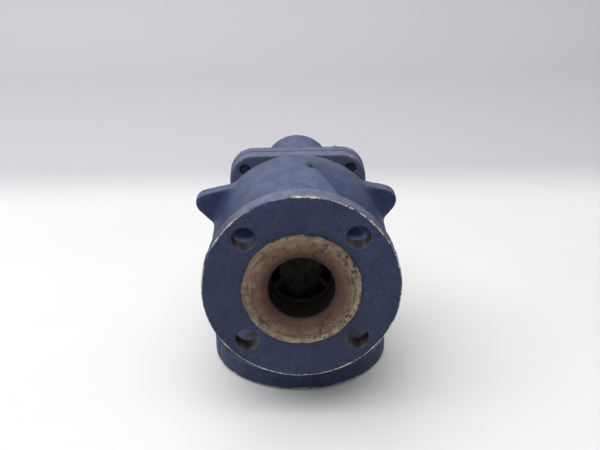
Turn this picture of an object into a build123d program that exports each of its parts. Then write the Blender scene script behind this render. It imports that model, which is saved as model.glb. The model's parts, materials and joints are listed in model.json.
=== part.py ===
from build123d import *
import math
import os

# Ball-float steam trap, angle pattern, class 150 flanged, nominal size 2 inch.
# Millimetres. The origin is the centre of the outlet flange's raised face, +Z is up, and the
# inlet axis runs along Y at the height CENTRE_TO_FACE. A "station" is a distance back from the
# inlet face along that axis, and a "height" in a station plane is measured from the axis.

# ---------------------------------------------------------------- pipe flanges
CENTRE_TO_FACE = 114.3
FLANGE_D = 152.4
FLANGE_THICKNESS = 17.5
RAISED_FACE_D = 92.1
RAISED_FACE_HEIGHT = 1.6
BOLT_CIRCLE_D = 120.65
BOLT_HOLE_D = 19.05
BOLT_COUNT = 4
FIRST_BOLT_ANGLE = 45.0
PORT_D = 50.8
PORT_MOUTH_D = 61.0
PORT_MOUTH_DEPTH = 7.0

# ---------------------------------------------------------------- body casting
DRUM_FRONT_R = 64.0
DRUM_R = 72.5
DRUM_FULL_STATION = 66.0
DRUM_REAR_STATION = 104.0
SHOULDER_STATION = 130.0
SHOULDER_R = 56.0
SHOULDER_BLEND = 16.0
CHAMBER_R = 63.0
CHAMBER_NARROW_R = 30.0
CHAMBER_FLARE_STATION = 42.0
CHAMBER_FULL_STATION = 66.0
CHAMBER_REAR_STATION = 104.0
MOUTH_R = 44.0
MOUTH_STATION = 122.0
NUT_POCKET_R = 17.0
NUT_POCKET_STATION = 37.0
NUT_POCKET_EDGE_R = 5.0
DRUM_FOOT_R = 4.0
NECK_R = 33.0
NECK_BLEND = 7.0
EDGE_BREAK = 1.2

# ---------------------------------------------------------------- side lugs of the body
LUG_STATION = 95.0
LUG_THICKNESS = 12.0
LUG_EDGE_R = 2.5
LUG_TIP_HEIGHT = 35.5
LUG_TOP_ROOT = (44.0, 50.5)
LUG_LOW_ROOT = (58.0, 6.5)
LEFT_LUG_TIP_X = 75.8
LEFT_LUG_TIP_R = 9.5
RIGHT_LUG_TIP_X = 69.8
RIGHT_LUG_TIP_R = 11.0

# ---------------------------------------------------------------- cover joint
COVER_SIDE = 118.5
COVER_CORNER_R = 21.5
JOINT_STATION = 149.5
BODY_FLANGE_THICKNESS = 10.0
GASKET_THICKNESS = 1.5
COVER_THICKNESS = 10.5
SCREW_SPACING = 91.0
SCREW_D = 10.0
SCREW_HOLE_D = 11.0
SCREW_HEAD_AF = 16.0
SCREW_HEAD_HEIGHT = 6.4
SCREW_END_DEPTH = 2.5
WASHER_D = 18.0
WASHER_THICKNESS = 2.0

# ---------------------------------------------------------------- cover boss and vent passage
BOSS_R = 30.0
BOSS_HEIGHT = 30.0
BOSS_END_STATION = 200.0
BOSS_EDGE_R = 9.0
CAVITY_R = 17.0
CAVITY_END_STATION = 178.0
RIB_WIDTH = 18.0
RIB_TOP_STATION = 196.0
RIB_LOW_STATION = 178.0
RIB_LOW_HEIGHT = -60.0
PASSAGE_R = 3.0
PASSAGE_HEIGHT = -51.0
PASSAGE_TOP = (188.0, 30.0)
PASSAGE_LOW = (168.0, -51.0)
PASSAGE_DROP_STATION = 130.0
PASSAGE_PLUG_R = 4.0
PASSAGE_PLUG_LENGTH = 5.0
PIP_R = 2.6
PIP_X = 33.0

# ---------------------------------------------------------------- valve and float gear
PAD_HEIGHT = -40.0
PAD_HALF_WIDTH = 18.0
PAD_START_STATION = 99.0
VALVE_STATION = CENTRE_TO_FACE
SEAT_HEAD_R = 10.0
SEAT_HEAD_HEIGHT = 5.0
SEAT_THREAD_R = 8.0
SEAT_BOTTOM_HEIGHT = -64.0
SEAT_GASKET_THICKNESS = 0.8
ORIFICE_R = 4.5
OUTLET_CORE_TOP_HEIGHT = -66.0
OUTLET_CORE_SHOULDER_HEIGHT = -84.0
OUTLET_CORE_TOP_R = 13.0
VALVE_BALL_R = 5.5
VALVE_CLEARANCE = 0.3
VALVE_STEM_R = 1.6
PIVOT_STATION = 136.0
PIVOT_HEIGHT = -25.7
PIVOT_PIN_R = 2.0
PIVOT_CLEARANCE = 0.05
PIVOT_PIN_HALF = 11.5
HUB_R = 5.0
LEVER_HALF_WIDTH = 6.0
LEVER_THICKNESS = 3.0
LEVER_UNDERSIDE = -29.7
TAB_STATION = 107.0
TAB_TOP_HEIGHT = -13.5
FLOAT_R = 30.0
FLOAT_WALL = 1.0
FLOAT_STATION = 76.0
FLOAT_HEIGHT = -20.0
FLOAT_STUD_R = 2.5
FLOAT_STUD_END = 115.0
FLOAT_NUT_AF = 8.0
FLOAT_NUT_THICKNESS = 4.0
BRACKET_STATION = 127.0
BRACKET_LENGTH = 18.0
BRACKET_THICKNESS = 3.0
BRACKET_EAR_INNER = 6.8
BRACKET_EAR_THICKNESS = 2.0
BRACKET_SCREW_X = 13.4
BRACKET_SCREW_D = 5.0

# ---------------------------------------------------------------- inlet deflector
DEFLECTOR_STATION = 30.0
DEFLECTOR_SEAT_R = 29.0
DEFLECTOR_SEAT_LENGTH = 8.0
DEFLECTOR_RING_R = 24.0
DEFLECTOR_RING_THICKNESS = 2.0
DEFLECTOR_DISC_R = 17.0
DEFLECTOR_DISC_STATION = 38.0
DEFLECTOR_DISC_THICKNESS = 1.5
DEFLECTOR_LEG_WIDTH = 4.0
DEFLECTOR_LEG_COUNT = 3
SNAP_RING_THICKNESS = 1.2
SNAP_RING_INNER_R = 26.6
SNAP_RING_OUTER_R = 30.2
SNAP_RING_GAP = 10.0

# ---------------------------------------------------------------- air vent
VENT_SEAT_HEAD_R = 9.0
VENT_SEAT_HEAD_LENGTH = 4.0
VENT_THREAD_R = 6.0
VENT_THREAD_LENGTH = 7.0
VENT_ORIFICE_R = 2.5
VENT_TRAVEL = 1.5
VENT_CLEARANCE = 0.3
CAPSULE_R = 13.0
CAPSULE_STATION = 159.0
CAPSULE_LENGTH = 9.0
CAPSULE_RIM_LENGTH = 1.6
PLUNGER_R = 4.0
PLUNGER_GUIDE_CLEARANCE = 0.1
CLIP_HALF_SPAN = 15.2
CLIP_THICKNESS = 1.0
CLIP_WIDTH = 6.0

# ---------------------------------------------------------------- drain plug and nameplate
DRAIN_STATION = 64.0
DRAIN_BOSS_R = 13.0
DRAIN_FACE_RADIUS = 75.0
DRAIN_THREAD_R = 8.0
DRAIN_GASKET_R = 11.5
DRAIN_GASKET_THICKNESS = 1.5
DRAIN_COLLAR_THICKNESS = 3.5
DRAIN_SOCKET_AF = 8.0
DRAIN_SOCKET_DEPTH = 9.0
PLATE_LENGTH = 26.0
PLATE_WIDTH = 14.0
PLATE_THICKNESS = 0.8
PLATE_X = 28.0
PLATE_HEIGHT = -24.0
PLATE_PIN_R = 1.2
PLATE_PIN_SPACING = 21.0

INLET = Pos(0, -CENTRE_TO_FACE, CENTRE_TO_FACE)
COVER_STATION = JOINT_STATION + GASKET_THICKNESS
COVER_REAR_STATION = COVER_STATION + COVER_THICKNESS
SEAT_LIP_HEIGHT = PAD_HEIGHT + SEAT_GASKET_THICKNESS + SEAT_HEAD_HEIGHT
CORNERS = [(-1, -1), (1, -1), (1, 1), (-1, 1)]
EXTRA = 2.0


def facing_back(x, station, height):
    """Place a sketch or solid so that its own Z points back along the inlet axis."""
    return INLET * Pos(x, station, height) * Rot(-90, 0, 0)


def rod(radius, start, end, x=0.0, height=0.0):
    """Solid cylinder parallel to the inlet axis, between two stations."""
    length = end - start
    place = facing_back(x, start, height)
    return place * Cylinder(radius, length, align=(Align.CENTER, Align.CENTER, Align.MIN))


def rear_circle(shape):
    """The circular edge furthest back from the inlet face."""
    return shape.edges().filter_by(GeomType.CIRCLE).sort_by(Axis.Y)[-1]


def post(radius, low, high, station, x=0.0):
    """Solid upright cylinder between two heights."""
    place = INLET * Pos(x, station, low)
    return place * Cylinder(radius, high - low, align=(Align.CENTER, Align.CENTER, Align.MIN))


def cross_rod(radius, x_low, x_high, station, height):
    """Solid cylinder parallel to X."""
    place = INLET * Pos(x_low, station, height) * Rot(0, 90, 0)
    return place * Cylinder(radius, x_high - x_low, align=(Align.CENTER, Align.CENTER, Align.MIN))


def block(x_range, station_range, height_range):
    """Rectangular block from its three ranges."""
    size = [high - low for low, high in (x_range, station_range, height_range)]
    place = INLET * Pos(x_range[0], station_range[0], height_range[0])
    return place * Box(*size, align=(Align.MIN, Align.MIN, Align.MIN))


def turned(corners):
    """Solid turned about the inlet axis, from (radius, station) corners."""
    outline = make_face(Polyline(*corners, close=True))
    return INLET * revolve(outline, Axis.Y)


def side_profile(corners, width):
    """Plate of the given width in X, centred on X = 0, from (station, height) corners."""
    outline = Plane.YZ * make_face(Polyline(*corners, close=True))
    return INLET * extrude(outline, width / 2, both=True)


def hexagon(across_flats, length):
    """Hexagonal bar standing on its own XY plane."""
    return extrude(RegularPolygon(across_flats / math.sqrt(3), 6), length)


# ------------------------------------------------------------------------------ body
def pipe_flange():
    """Raised-face flange standing on its own XY plane, face down, without its port."""
    raised = Cylinder(RAISED_FACE_D / 2, FLANGE_THICKNESS, align=(Align.CENTER, Align.CENTER, Align.MIN))
    ring_thickness = FLANGE_THICKNESS - RAISED_FACE_HEIGHT
    ring = Cylinder(FLANGE_D / 2, ring_thickness, align=(Align.CENTER, Align.CENTER, Align.MIN))
    ring = fillet(ring.edges(), EDGE_BREAK)
    return raised + Pos(0, 0, RAISED_FACE_HEIGHT) * ring


def flange_holes():
    """The bolt holes of one flange, as cutters along its own Z."""
    hole = Cylinder(BOLT_HOLE_D / 2, 3 * FLANGE_THICKNESS)
    radius = BOLT_CIRCLE_D / 2
    holes = Part()
    for index in range(BOLT_COUNT):
        angle = FIRST_BOLT_ANGLE + index * 360 / BOLT_COUNT
        holes += Rot(0, 0, angle) * Pos(radius, 0, 0) * hole
    return holes


def rounded_outline(corners, rounds):
    """Face from its corners, with the listed corners rounded: {corner: radius}."""
    outline = make_face(Polyline(*corners, close=True))
    for corner, radius in rounds.items():
        vertex = outline.vertices().sort_by_distance(Vector(*corner))[0]
        outline = fillet(vertex, radius)
    return outline


def drum():
    """Outer shape of the float chamber, with a nut pocket behind each inlet bolt."""
    start = FLANGE_THICKNESS - EXTRA
    foot = (DRUM_FRONT_R, FLANGE_THICKNESS)
    full = (DRUM_R, DRUM_FULL_STATION)
    rear = (DRUM_R, DRUM_REAR_STATION)
    shoulder = (SHOULDER_R, SHOULDER_STATION)
    corners = [
        (0, start),
        (DRUM_FRONT_R + 2 * DRUM_FOOT_R, start),
        (DRUM_FRONT_R + 2 * DRUM_FOOT_R, FLANGE_THICKNESS),
        foot,
        full,
        rear,
        shoulder,
        (SHOULDER_R, JOINT_STATION - EXTRA),
        (0, JOINT_STATION - EXTRA),
    ]
    rounds = {foot: DRUM_FOOT_R, full: 4 * SHOULDER_BLEND, rear: SHOULDER_BLEND, shoulder: SHOULDER_BLEND}
    shell = INLET * revolve(rounded_outline(corners, rounds), Axis.Y)
    radius = BOLT_CIRCLE_D / 2
    for index in range(BOLT_COUNT):
        angle = math.radians(FIRST_BOLT_ANGLE + index * 360 / BOLT_COUNT)
        x = radius * math.cos(angle)
        height = radius * math.sin(angle)
        pocket = rod(NUT_POCKET_R, 0, NUT_POCKET_STATION, x, height)
        shell -= fillet(rear_circle(pocket), NUT_POCKET_EDGE_R)
    return shell


def neck():
    """Outlet neck, from the outlet flange up into the drum."""
    foot = (NECK_R, FLANGE_THICKNESS)
    corners = [
        (0, EXTRA),
        (NECK_R + 2 * NECK_BLEND, EXTRA),
        (NECK_R + 2 * NECK_BLEND, FLANGE_THICKNESS),
        foot,
        (NECK_R, CENTRE_TO_FACE - MOUTH_R),
        (0, CENTRE_TO_FACE - MOUTH_R),
    ]
    return revolve(Plane.XZ * rounded_outline(corners, {foot: NECK_BLEND}), Axis.Z)


def lug(tip_x, tip_radius):
    """Flat pointed lug, drawn on the right-hand side of the drum."""
    tip = Pos(tip_x, LUG_TIP_HEIGHT) * Circle(tip_radius)
    roots = [Pos(*corner) * Circle(LUG_EDGE_R) for corner in (LUG_TOP_ROOT, LUG_LOW_ROOT)]
    outline = make_hull(tip.edges() + roots[0].edges() + roots[1].edges())
    plate = extrude(outline, LUG_THICKNESS / 2, both=True)
    plate = fillet(plate.edges().filter_by(Plane.XY), LUG_EDGE_R)
    return INLET * Pos(0, LUG_STATION, 0) * Rot(90, 0, 0) * plate


def square_plate(start, end):
    """Square plate with round corners, of the size of the cover joint."""
    outline = RectangleRounded(COVER_SIDE, COVER_SIDE, COVER_CORNER_R)
    return facing_back(0, start, 0) * extrude(outline, end - start)


def corner_rods(radius, start, end):
    """One rod at each of the four cover screws."""
    half = SCREW_SPACING / 2
    rods = [rod(radius, start, end, sx * half, sz * half) for sx, sz in CORNERS]
    return rods


def drain_rod(radius, start, end):
    """Solid cylinder on the drain axis, between two depths below the inlet axis."""
    return post(radius, -end, -start, DRAIN_STATION)


def float_chamber():
    """Hollow of the body: inlet port, float chamber and mouth, less the valve pad."""
    hollow = turned(
        [
            (0, -EXTRA),
            (PORT_MOUTH_D / 2, -EXTRA),
            (PORT_MOUTH_D / 2, 0),
            (PORT_D / 2, PORT_MOUTH_DEPTH),
            (PORT_D / 2, DEFLECTOR_STATION),
            (DEFLECTOR_SEAT_R, DEFLECTOR_STATION),
            (DEFLECTOR_SEAT_R, DEFLECTOR_STATION + DEFLECTOR_SEAT_LENGTH),
            (CHAMBER_NARROW_R, CHAMBER_FLARE_STATION),
            (CHAMBER_R, CHAMBER_FULL_STATION),
            (CHAMBER_R, CHAMBER_REAR_STATION),
            (MOUTH_R, MOUTH_STATION),
            (MOUTH_R, JOINT_STATION + EXTRA),
            (0, JOINT_STATION + EXTRA),
        ]
    )
    pad_rear = JOINT_STATION + 2 * EXTRA
    pad = block(
        (-PAD_HALF_WIDTH, PAD_HALF_WIDTH),
        (PAD_START_STATION, pad_rear),
        (-CHAMBER_R - EXTRA, PAD_HEIGHT),
    )
    return hollow - pad


def outlet_port():
    """Outlet port, rising through the neck to a cored cone under the valve seat."""
    top = CENTRE_TO_FACE + OUTLET_CORE_TOP_HEIGHT
    shoulder = CENTRE_TO_FACE + OUTLET_CORE_SHOULDER_HEIGHT
    outline = Polyline(
        (0, -EXTRA),
        (PORT_MOUTH_D / 2, -EXTRA),
        (PORT_MOUTH_D / 2, 0),
        (PORT_D / 2, PORT_MOUTH_DEPTH),
        (PORT_D / 2, shoulder),
        (OUTLET_CORE_TOP_R, top),
        (0, top),
        close=True,
    )
    return revolve(Plane.XZ * make_face(outline), Axis.Z)


def body():
    """Body casting with both flanges, the drum, the lugs and the joint flange."""
    casting = drum() + neck() + drain_rod(DRAIN_BOSS_R, CHAMBER_R - EXTRA, DRAIN_FACE_RADIUS)
    casting += lug(RIGHT_LUG_TIP_X, RIGHT_LUG_TIP_R)
    casting += mirror(lug(LEFT_LUG_TIP_X, LEFT_LUG_TIP_R), Plane.YZ)
    casting += square_plate(JOINT_STATION - BODY_FLANGE_THICKNESS, JOINT_STATION)
    casting += facing_back(0, 0, 0) * pipe_flange()
    casting += pipe_flange()
    casting -= float_chamber()
    casting -= outlet_port()
    casting -= facing_back(0, 0, 0) * flange_holes()
    casting -= flange_holes()
    for hole in corner_rods(SCREW_D / 2, JOINT_STATION - 2 * BODY_FLANGE_THICKNESS, JOINT_STATION + EXTRA):
        casting -= hole
    casting -= post(SEAT_THREAD_R, SEAT_BOTTOM_HEIGHT - 2 * EXTRA, PAD_HEIGHT + EXTRA, VALVE_STATION)
    casting -= rod(PASSAGE_R, PASSAGE_DROP_STATION, JOINT_STATION + EXTRA, 0, PASSAGE_HEIGHT)
    casting -= post(PASSAGE_R, OUTLET_CORE_SHOULDER_HEIGHT, PASSAGE_HEIGHT, PASSAGE_DROP_STATION)
    casting -= turned_groove()
    casting -= drain_rod(DRAIN_THREAD_R, CHAMBER_R - 5 * EXTRA, DRAIN_FACE_RADIUS + EXTRA)
    for x in (-BRACKET_SCREW_X, BRACKET_SCREW_X):
        casting -= bracket_screw_shank(x)
    return casting


# ------------------------------------------------------------------------------ inlet deflector
def snap_ring_station():
    return DEFLECTOR_STATION + DEFLECTOR_RING_THICKNESS


def turned_groove():
    """Groove of the deflector's retaining ring."""
    start = snap_ring_station()
    end = start + SNAP_RING_THICKNESS
    return rod(SNAP_RING_OUTER_R, start, end)


def inlet_deflector():
    """Disc that shields the float from the inlet jet, on a ring with three legs."""
    start = DEFLECTOR_STATION
    ring_end = start + DEFLECTOR_RING_THICKNESS
    disc_end = DEFLECTOR_DISC_STATION + DEFLECTOR_DISC_THICKNESS
    ring = rod(DEFLECTOR_SEAT_R, start, ring_end) - rod(DEFLECTOR_RING_R, start, ring_end)
    disc = rod(DEFLECTOR_DISC_R, DEFLECTOR_DISC_STATION, disc_end)
    ring_middle = (start + ring_end) / 2
    disc_middle = (DEFLECTOR_DISC_STATION + disc_end) / 2
    leg_outline = Polyline(
        (ring_middle, DEFLECTOR_RING_R + 0.5),
        (ring_middle, SNAP_RING_INNER_R - 1.0),
        (ring_end + SNAP_RING_THICKNESS, SNAP_RING_INNER_R - 1.0),
        (disc_middle, DEFLECTOR_DISC_R - 1.0),
        (disc_middle, DEFLECTOR_DISC_R - 3.5),
        close=True,
    )
    leg = extrude(Plane.YZ * make_face(leg_outline), DEFLECTOR_LEG_WIDTH / 2, both=True)
    part = ring + disc
    for index in range(DEFLECTOR_LEG_COUNT):
        part += INLET * Rot(0, index * 360 / DEFLECTOR_LEG_COUNT, 0) * leg
    return part


def deflector_snap_ring():
    """Open retaining ring in the groove behind the deflector's ring."""
    start = snap_ring_station()
    end = start + SNAP_RING_THICKNESS
    ring = rod(SNAP_RING_OUTER_R, start, end) - rod(SNAP_RING_INNER_R, start, end)
    gap = block((-SNAP_RING_GAP / 2, SNAP_RING_GAP / 2), (start, end), (-2 * SNAP_RING_OUTER_R, 0))
    return ring - gap


# ------------------------------------------------------------------------------ cover
def passage(radius, low_height, high_height):
    """Rod along the sloping vent passage, between two heights."""
    low = Vector(0, *PASSAGE_LOW)
    high = Vector(0, *PASSAGE_TOP)
    slope = (high - low) * (1 / (high.Z - low.Z))
    start = low + slope * (low_height - low.Z)
    end = low + slope * (high_height - low.Z)
    place = INLET * Plane(origin=start, z_dir=end - start).location
    length = (end - start).length
    return place * Cylinder(radius, length, align=(Align.CENTER, Align.CENTER, Align.MIN))


def cover():
    """Cover casting with the air vent's boss and the rib of its drilled passage."""
    plate = square_plate(COVER_STATION, COVER_REAR_STATION)
    boss = rod(BOSS_R, COVER_REAR_STATION - EXTRA, BOSS_END_STATION, 0, BOSS_HEIGHT)
    boss = fillet(rear_circle(boss), BOSS_EDGE_R)
    rib = side_profile(
        [
            (COVER_REAR_STATION - EXTRA, RIB_LOW_HEIGHT),
            (RIB_LOW_STATION, RIB_LOW_HEIGHT),
            (RIB_TOP_STATION, BOSS_HEIGHT),
            (COVER_REAR_STATION - EXTRA, BOSS_HEIGHT),
        ],
        RIB_WIDTH,
    )
    rib = fillet(rib.edges().filter_by(Plane.YZ).group_by(Axis.Y)[-1], RIB_WIDTH / 6)
    pip_station = (COVER_STATION + COVER_REAR_STATION) / 2
    pip = INLET * Pos(PIP_X, pip_station, COVER_SIDE / 2) * Sphere(PIP_R)
    casting = plate + boss + rib + pip
    casting -= rod(CAVITY_R, COVER_STATION - EXTRA, CAVITY_END_STATION, 0, BOSS_HEIGHT)
    thread_end = CAVITY_END_STATION + VENT_THREAD_LENGTH
    casting -= rod(VENT_THREAD_R, CAVITY_END_STATION - EXTRA, thread_end, 0, BOSS_HEIGHT)
    casting -= passage(PASSAGE_R, RIB_LOW_HEIGHT - EXTRA, BOSS_HEIGHT)
    casting -= passage(PASSAGE_PLUG_R, RIB_LOW_HEIGHT - EXTRA, RIB_LOW_HEIGHT + PASSAGE_PLUG_LENGTH)
    casting -= rod(PASSAGE_R, COVER_STATION - EXTRA, PASSAGE_LOW[0], 0, PASSAGE_HEIGHT)
    for hole in corner_rods(SCREW_HOLE_D / 2, COVER_STATION - EXTRA, COVER_REAR_STATION + EXTRA):
        casting -= hole
    for x in plate_pin_places():
        casting -= plate_pin_shank(x)
    return casting


def passage_plug():
    """Plug that closes the drilled passage at the foot of the rib."""
    plug = passage(PASSAGE_PLUG_R, RIB_LOW_HEIGHT - EXTRA, RIB_LOW_HEIGHT + PASSAGE_PLUG_LENGTH)
    stations = (PASSAGE_LOW[0] - 20, PASSAGE_LOW[0] + 20)
    below = block((-10, 10), stations, (RIB_LOW_HEIGHT - 10, RIB_LOW_HEIGHT))
    return plug - below


def cover_gasket():
    """Flat gasket of the cover joint, with the mouth, passage and screw holes."""
    gasket = square_plate(JOINT_STATION, COVER_STATION)
    start = JOINT_STATION - EXTRA
    end = COVER_STATION + EXTRA
    gasket -= rod(MOUTH_R + 1.0, start, end)
    gasket -= rod(PASSAGE_R + 0.5, start, end, 0, PASSAGE_HEIGHT)
    for hole in corner_rods(SCREW_HOLE_D / 2, start, end):
        gasket -= hole
    return gasket


def cover_screws():
    """Four hexagon-head screws, in from the cover side, their ends just short of the body's face."""
    head_start = COVER_REAR_STATION + WASHER_THICKNESS
    end_station = JOINT_STATION - BODY_FLANGE_THICKNESS + SCREW_END_DEPTH
    half = SCREW_SPACING / 2
    screws = []
    for sx, sz in CORNERS:
        shank = rod(SCREW_D / 2, end_station, head_start, sx * half, sz * half)
        shank = chamfer(shank.edges().filter_by(GeomType.CIRCLE).sort_by(Axis.Y)[0], 1.0)
        head = facing_back(sx * half, head_start, sz * half) * hexagon(SCREW_HEAD_AF, SCREW_HEAD_HEIGHT)
        dome = rod(SCREW_HEAD_AF / 2 * 1.12, head_start, head_start + SCREW_HEAD_HEIGHT, sx * half, sz * half)
        dome = chamfer(rear_circle(dome), 1.2)
        screws.append(shank + (head & dome))
    return Compound(children=screws)


def cover_washers():
    """Plain washers under the four screw heads."""
    end = COVER_REAR_STATION + WASHER_THICKNESS
    outer = corner_rods(WASHER_D / 2, COVER_REAR_STATION, end)
    inner = corner_rods(SCREW_HOLE_D / 2, COVER_REAR_STATION, end)
    return Compound(children=[disc - hole for disc, hole in zip(outer, inner)])


# ------------------------------------------------------------------------------ valve and float gear
def valve_seat():
    """Screwed seat over the outlet, with a hexagonal flange."""
    head_low = PAD_HEIGHT + SEAT_GASKET_THICKNESS
    seat = post(SEAT_THREAD_R, SEAT_BOTTOM_HEIGHT, head_low, VALVE_STATION)
    head = INLET * Pos(0, VALVE_STATION, head_low) * hexagon(2 * SEAT_HEAD_R * 0.9, SEAT_HEAD_HEIGHT - 1.0)
    lip = post(SEAT_THREAD_R - 1.0, head_low, SEAT_LIP_HEIGHT, VALVE_STATION)
    orifice = post(ORIFICE_R, SEAT_BOTTOM_HEIGHT - EXTRA, SEAT_LIP_HEIGHT + EXTRA, VALVE_STATION)
    return seat + head + lip - orifice


def seat_gasket():
    """Thin ring under the seat's flange."""
    high = PAD_HEIGHT + SEAT_GASKET_THICKNESS
    ring = post(SEAT_HEAD_R - 1.0, PAD_HEIGHT, high, VALVE_STATION)
    return ring - post(SEAT_THREAD_R, PAD_HEIGHT, high, VALVE_STATION)


def valve_ball_height():
    """Height of the valve ball's centre when it rests just off the seat's edge."""
    reach = VALVE_BALL_R + VALVE_CLEARANCE
    return SEAT_LIP_HEIGHT + math.sqrt(reach**2 - ORIFICE_R**2)


def valve_head():
    """Half-ball valve on a stem that passes up through the lever."""
    centre = valve_ball_height()
    ball = INLET * Pos(0, VALVE_STATION, centre) * Sphere(VALVE_BALL_R)
    top = post(VALVE_BALL_R, centre, LEVER_UNDERSIDE, VALVE_STATION)
    above = post(2 * VALVE_BALL_R, LEVER_UNDERSIDE, LEVER_UNDERSIDE + 2 * VALVE_BALL_R, VALVE_STATION)
    stem_top = LEVER_UNDERSIDE + LEVER_THICKNESS + 2.0
    stem = post(VALVE_STEM_R, centre, stem_top, VALVE_STATION)
    return (ball + top - above) + stem


def valve_clip():
    """Collar on the stem above the lever."""
    low = LEVER_UNDERSIDE + LEVER_THICKNESS
    collar = post(2 * VALVE_STEM_R, low, low + 1.2, VALVE_STATION)
    return collar - post(VALVE_STEM_R, low, low + 1.2, VALVE_STATION)


def float_lever():
    """Flat lever with a pivot hub behind and an upright tab for the float in front."""
    half = LEVER_HALF_WIDTH
    high = LEVER_UNDERSIDE + LEVER_THICKNESS
    bar = block((-half, half), (TAB_STATION, PIVOT_STATION), (LEVER_UNDERSIDE, high))
    tab_stations = (TAB_STATION, TAB_STATION + LEVER_THICKNESS)
    tab = block((-half, half), tab_stations, (LEVER_UNDERSIDE, TAB_TOP_HEIGHT))
    hub = cross_rod(HUB_R, -half, half, PIVOT_STATION, PIVOT_HEIGHT)
    lever = bar + tab + hub
    lever -= cross_rod(PIVOT_PIN_R + PIVOT_CLEARANCE, -half, half, PIVOT_STATION, PIVOT_HEIGHT)
    lever -= post(VALVE_STEM_R, LEVER_UNDERSIDE, high, VALVE_STATION)
    lever -= rod(FLOAT_STUD_R, TAB_STATION, TAB_STATION + LEVER_THICKNESS, 0, FLOAT_HEIGHT)
    return lever


def float_ball():
    """Hollow pressed ball with a welded stud behind."""
    place = INLET * Pos(0, FLOAT_STATION, FLOAT_HEIGHT)
    stud = rod(FLOAT_STUD_R, FLOAT_STATION + FLOAT_R - FLOAT_WALL / 2, FLOAT_STUD_END, 0, FLOAT_HEIGHT)
    collar = rod(2 * FLOAT_STUD_R, FLOAT_STATION + FLOAT_R - FLOAT_WALL, TAB_STATION, 0, FLOAT_HEIGHT)
    return place * Sphere(FLOAT_R) + stud + collar - place * Sphere(FLOAT_R - FLOAT_WALL)


def float_nut():
    """Nut on the float's stud."""
    start = TAB_STATION + LEVER_THICKNESS
    nut = facing_back(0, start, FLOAT_HEIGHT) * hexagon(FLOAT_NUT_AF, FLOAT_NUT_THICKNESS)
    return nut - rod(FLOAT_STUD_R, start, start + FLOAT_NUT_THICKNESS, 0, FLOAT_HEIGHT)


def mechanism_bracket():
    """Bracket of bent strip, with two ears for the pivot pin."""
    top = PAD_HEIGHT + BRACKET_THICKNESS
    rear = BRACKET_STATION + BRACKET_LENGTH
    bracket = block((-PAD_HALF_WIDTH, PAD_HALF_WIDTH), (BRACKET_STATION, rear), (PAD_HEIGHT, top))
    for side in (-1, 1):
        near = side * BRACKET_EAR_INNER
        far = side * (BRACKET_EAR_INNER + BRACKET_EAR_THICKNESS)
        x_range = (min(near, far), max(near, far))
        ear = block(x_range, (PIVOT_STATION - HUB_R, PIVOT_STATION + HUB_R), (top, PIVOT_HEIGHT))
        ear += cross_rod(HUB_R, *x_range, PIVOT_STATION, PIVOT_HEIGHT)
        bracket += ear
    bracket -= cross_rod(PIVOT_PIN_R, -PIVOT_PIN_HALF, PIVOT_PIN_HALF, PIVOT_STATION, PIVOT_HEIGHT)
    for x in (-BRACKET_SCREW_X, BRACKET_SCREW_X):
        bracket -= bracket_screw_shank(x)
    return bracket


def bracket_screw_shank(x):
    """Shank of one bracket screw, which is also the cutter of its hole."""
    top = PAD_HEIGHT + BRACKET_THICKNESS
    return post(BRACKET_SCREW_D / 2, top - 12.0, top, PIVOT_STATION, x)


def bracket_screws():
    """Two cheese-head screws that hold the bracket to the pad."""
    top = PAD_HEIGHT + BRACKET_THICKNESS
    screws = []
    for x in (-BRACKET_SCREW_X, BRACKET_SCREW_X):
        head = post(0.8 * BRACKET_SCREW_D, top, top + 0.7 * BRACKET_SCREW_D, PIVOT_STATION, x)
        slot = block(
            (x - BRACKET_SCREW_D, x + BRACKET_SCREW_D),
            (PIVOT_STATION - 0.5, PIVOT_STATION + 0.5),
            (top + 0.4 * BRACKET_SCREW_D, top + BRACKET_SCREW_D),
        )
        screws.append(bracket_screw_shank(x) + head - slot)
    return Compound(children=screws)


def pivot_pin():
    """Plain pin of the float lever."""
    pin = cross_rod(PIVOT_PIN_R, -PIVOT_PIN_HALF, PIVOT_PIN_HALF, PIVOT_STATION, PIVOT_HEIGHT)
    return chamfer(pin.edges().filter_by(GeomType.CIRCLE), 0.4)


def pin_clips():
    """One retaining washer outside each ear."""
    clips = []
    for side in (-1, 1):
        near = side * (BRACKET_EAR_INNER + BRACKET_EAR_THICKNESS)
        far = near + side * 0.8
        x_range = (min(near, far), max(near, far))
        washer = cross_rod(2 * PIVOT_PIN_R, *x_range, PIVOT_STATION, PIVOT_HEIGHT)
        clips.append(washer - cross_rod(PIVOT_PIN_R, *x_range, PIVOT_STATION, PIVOT_HEIGHT))
    return Compound(children=clips)


# ------------------------------------------------------------------------------ air vent
def air_vent_seat():
    """Screwed seat at the back of the vent cavity."""
    head_start = CAVITY_END_STATION - VENT_SEAT_HEAD_LENGTH
    head = rod(VENT_SEAT_HEAD_R, head_start, CAVITY_END_STATION, 0, BOSS_HEIGHT)
    thread_end = CAVITY_END_STATION + VENT_THREAD_LENGTH
    thread = rod(VENT_THREAD_R, CAVITY_END_STATION, thread_end, 0, BOSS_HEIGHT)
    bore = rod(VENT_ORIFICE_R, head_start - EXTRA, thread_end + EXTRA, 0, BOSS_HEIGHT)
    return head + thread - bore


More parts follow.
